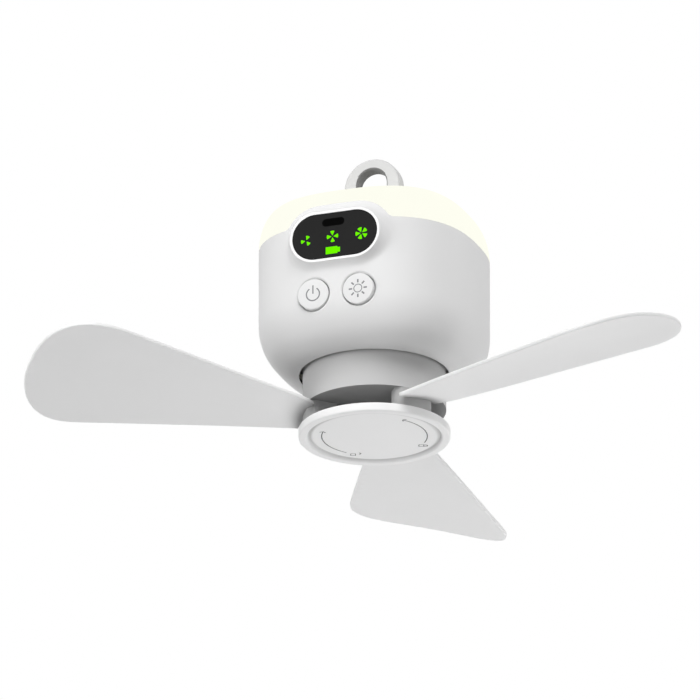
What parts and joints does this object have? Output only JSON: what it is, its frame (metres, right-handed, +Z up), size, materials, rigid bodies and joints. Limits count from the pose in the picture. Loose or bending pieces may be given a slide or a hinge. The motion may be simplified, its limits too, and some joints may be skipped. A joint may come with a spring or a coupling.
{
  "type": "portable camping fan",
  "caption": "Cordless camping fan and lamp: rounded square housing with a glowing dome, display and push buttons, folding hanging loop, wide blades and a twist-lock hub cap.",
  "frame": {"origin": "inside top of the hanging loop, where it rests on a hook", "axes": "+Z up through the hook, -Y towards the display and buttons, +X to the right as seen facing the display"},
  "size_m": [0.3268, 0.3146, 0.1493],
  "materials": {
    "white_plastic": "fine satin white plastic",
    "blade_plastic": "satin white plastic",
    "inner_plastic": "plain moulded plastic",
    "dark_plastic": "plain black plastic",
    "lamp_diffuser": "milky diffusing plastic, lit from inside",
    "black_gloss": "smooth glossy tinted plastic",
    "lit_green": "lit green windows",
    "sign_grey": "grey filled engraving",
    "circuit_board": "green solder mask",
    "white_board": "white solder mask",
    "lamp_chip": "yellow phosphor on white chips",
    "battery_cell": "blue plastic sleeve over a metal can",
    "motor_iron": "dark iron",
    "copper": "varnished copper windings",
    "steel": "plain bright steel"
  },
  "bodies": {
    "hanger": {"hang_loop": "white_plastic", "hang_pin": "steel"},
    "housing": {"body_shell": "white_plastic", "lamp_dome": "lamp_diffuser", "loop_mount": "white_plastic", "loop_mount_screw": "steel", "display_window": "black_gloss", "sensor_window": "black_gloss", "speed_icons": "lit_green", "battery_icon": "lit_green", "display_board": "circuit_board", "display_lamps": "lamp_chip", "button_board": "circuit_board", "tact_switches": "dark_plastic", "main_board": "circuit_board", "board_parts": "dark_plastic", "charge_socket": "steel", "battery_cells": "battery_cell", "battery_cradle": "dark_plastic", "lamp_deck": "white_plastic", "lamp_board": "white_board", "lamps": "lamp_chip", "deck_screws": "steel", "motor_chassis": "inner_plastic", "chassis_screws": "steel", "bearing_outer_rings": "steel", "stator_core": "motor_iron", "stator_coils": "copper"},
    "power_key": {"power_button": "white_plastic", "power_icon": "sign_grey"},
    "light_key": {"light_button": "white_plastic", "light_icon": "sign_grey"},
    "rotor": {"neck_drum": "white_plastic", "rotor_can": "steel", "rotor_magnets": "motor_iron", "motor_shaft": "steel", "shaft_clip": "steel", "can_screws": "steel", "bearing_inner_rings": "steel", "bearing_balls": "steel", "blade_1": "blade_plastic", "blade_2": "blade_plastic", "blade_3": "blade_plastic"},
    "cap": {"hub_cap": "white_plastic", "cap_signs": "sign_grey"}
  },
  "joints": [
    {"name": "loop_fold", "type": "hinge", "parent": "hanger", "child": "housing", "pos_m": [0, 0, -0.0202], "axis": [1, 0, 0], "range_deg": [-90, 90]},
    {"name": "rotor_spin", "type": "hinge", "parent": "housing", "child": "rotor", "pos_m": [0, 0, -0.1102], "axis": [0, 0, 1], "continuous": true},
    {"name": "cap_lock", "type": "hinge", "parent": "rotor", "child": "cap", "pos_m": [0, 0, -0.1402], "axis": [0, 0, -1], "range_deg": [0, 50]},
    {"name": "power_press", "type": "slide", "parent": "housing", "child": "power_key", "axis": [0, 1, 0], "range_m": [0, 0.0006], "stiffness_N_per_m": 400, "springref_m": -0.002},
    {"name": "light_press", "type": "slide", "parent": "housing", "child": "light_key", "axis": [0, 1, 0], "range_m": [0, 0.0006], "stiffness_N_per_m": 400, "springref_m": -0.002}
  ]
}
